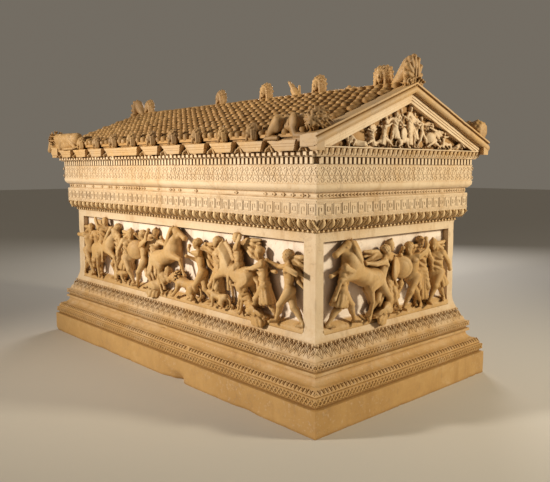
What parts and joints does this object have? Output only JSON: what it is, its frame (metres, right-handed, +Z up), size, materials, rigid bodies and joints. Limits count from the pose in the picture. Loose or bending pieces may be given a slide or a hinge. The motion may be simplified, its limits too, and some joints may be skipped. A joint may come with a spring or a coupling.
{
  "type": "stone sarcophagus with a temple-roof lid",
  "caption": "Hollow carved marble chest on a moulded foot with relief panels, under a loose gabled lid carved as a tiled temple roof.",
  "frame": {"origin": "middle of the underside of the foot, on the floor", "axes": "+X along the length towards the gable end whose right-hand corner lion is broken, +Y across towards the plainer long side, +Z up"},
  "size_m": [3.3212, 1.6966, 2.0787],
  "materials": {
    "chest_marble": "worn, honey-toned marble",
    "lid_marble": "worn, honey-toned marble"
  },
  "bodies": {
    "root": {"chest": "chest_marble", "lid": "lid_marble"}
  },
  "joints": []
}
